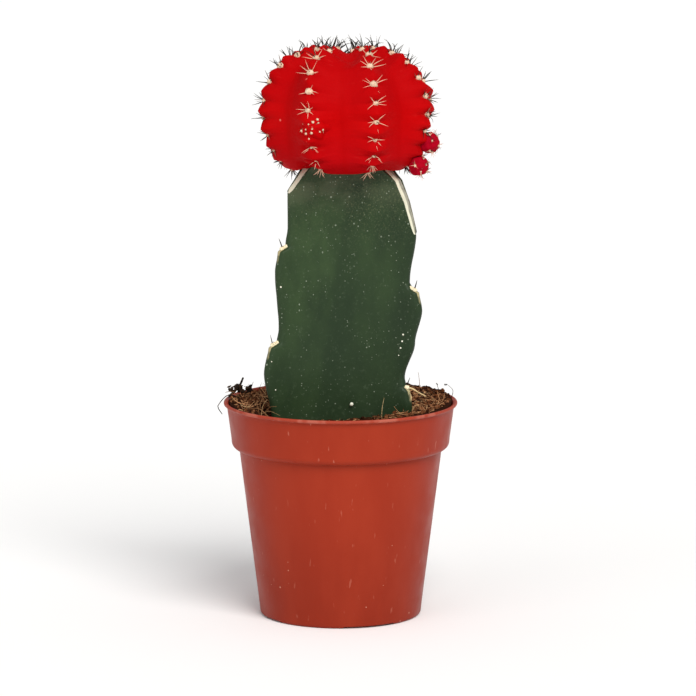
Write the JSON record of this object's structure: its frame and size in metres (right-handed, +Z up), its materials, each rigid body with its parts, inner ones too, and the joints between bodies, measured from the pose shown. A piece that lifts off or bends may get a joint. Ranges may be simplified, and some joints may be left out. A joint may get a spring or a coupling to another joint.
{
  "type": "potted moon cactus",
  "caption": "Grafted moon cactus: a red ribbed, spiny head on a three-winged green stem, standing in soil in a small plastic nursery pot.",
  "frame": {"origin": "centre of the pot's foot, on the surface that it stands on", "axes": "+Z up along the pot's axis; -Y towards the front, where a hollow side of the three-winged stem faces"},
  "size_m": [0.065, 0.065, 0.1611],
  "materials": {
    "pot_plastic": "satin",
    "growing_mix": "matte",
    "green_stem": "satin",
    "red_scion": "satin"
  },
  "bodies": {
    "root": {"pot": "pot_plastic", "soil": "growing_mix", "rootstock": "green_stem", "scion": "red_scion"}
  },
  "joints": []
}
